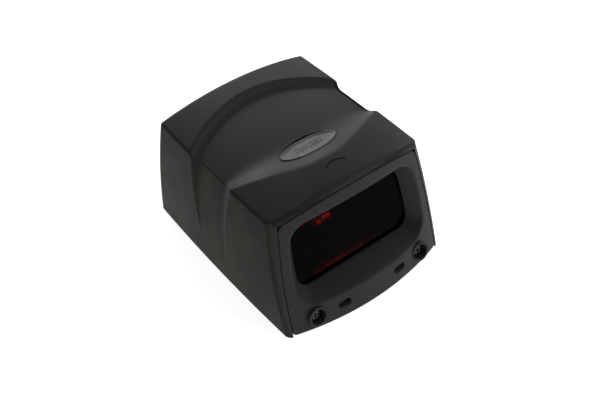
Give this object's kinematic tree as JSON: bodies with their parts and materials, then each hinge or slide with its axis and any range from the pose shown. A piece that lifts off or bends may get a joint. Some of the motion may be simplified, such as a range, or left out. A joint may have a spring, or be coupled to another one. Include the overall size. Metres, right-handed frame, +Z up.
{
  "type": "fixed-mount barcode scanner",
  "caption": "Compact fixed-mount laser barcode scanner with a slanted recessed red window, a waisted housing and a motor-driven mirror wheel inside.",
  "frame": {"origin": "middle of the underside", "axes": "+X along the width, the scan window faces -Y, +Z up"},
  "size_m": [0.0796, 0.0926, 0.052],
  "materials": {
    "housing_plastic": "fine spark-eroded texture, satin",
    "base_plastic": "fine spark-eroded texture",
    "bezel_plastic": "satin moulded plastic",
    "seal_foam": "closed-cell foam",
    "window_filter": "polished dark red filter",
    "black_screw": "black zinc",
    "insert_brass": "knurled, machined",
    "badge_silver": "satin silver",
    "light_guide": "smoked clear",
    "board_green": "solder mask",
    "led_white": "moulded",
    "zinc_screw": "bright zinc",
    "ribbon_amber": "polyimide film",
    "chip_black": "moulded epoxy",
    "can_aluminium": "turned",
    "socket_ivory": "moulded nylon",
    "beeper_black": "moulded",
    "contact_gold": "gold plated",
    "chassis_plastic": "glass-filled nylon",
    "isolator_rubber": "soft rubber",
    "sleeve_bronze": "sintered bronze",
    "motor_steel": "brushed",
    "stator_iron": "laminated",
    "coil_copper": "enamelled copper wire",
    "magnet_ferrite": "bonded ferrite",
    "wheel_plastic": "moulded",
    "mirror_glass": "front-silvered glass",
    "lens_glass": "polished",
    "filter_glass": "red filter glass"
  },
  "bodies": {
    "housing": {"top_housing": "housing_plastic", "base_cover": "base_plastic", "front_bezel": "bezel_plastic", "window_gasket": "seal_foam", "scan_window": "window_filter", "bezel_screws": "black_screw", "base_screws": "black_screw", "mounting_inserts": "insert_brass", "badge_plate": "badge_silver", "status_light_guide": "light_guide", "indicator_board": "board_green", "main_board": "board_green", "motor_board": "board_green", "detector_board": "board_green", "indicator_leds": "led_white", "indicator_screws": "zinc_screw", "board_screws": "zinc_screw", "chassis_screws": "zinc_screw", "carrier_screws": "zinc_screw", "clamp_screws": "zinc_screw", "flex_cable": "ribbon_amber", "logic_chips": "chip_black", "photodetector": "chip_black", "capacitors": "can_aluminium", "laser_barrel": "can_aluminium", "board_sockets": "socket_ivory", "beeper": "beeper_black", "interface_jack": "beeper_black", "jack_contacts": "contact_gold", "laser_diode": "contact_gold", "optical_chassis": "chassis_plastic", "mirror_carrier": "chassis_plastic", "receiver_housing": "chassis_plastic", "chassis_isolators": "isolator_rubber", "bearing_sleeve": "sleeve_bronze", "thrust_pad": "motor_steel", "shield_can": "motor_steel", "laser_clamp": "motor_steel", "stator_core": "stator_iron", "stator_coils": "coil_copper", "pattern_mirrors": "mirror_glass", "laser_lens": "lens_glass", "collector_lens": "lens_glass", "detector_filter": "filter_glass"},
    "spinner": {"motor_shaft": "motor_steel", "rotor_cup": "motor_steel", "rotor_magnet": "magnet_ferrite", "mirror_wheel": "wheel_plastic", "wheel_mirrors": "mirror_glass", "wheel_clip": "motor_steel"}
  },
  "joints": [
    {"name": "wheel_spin", "type": "hinge", "parent": "housing", "child": "spinner", "pos_m": [0, -0.006, 0.02], "axis": [0, 0, 1], "continuous": true}
  ]
}
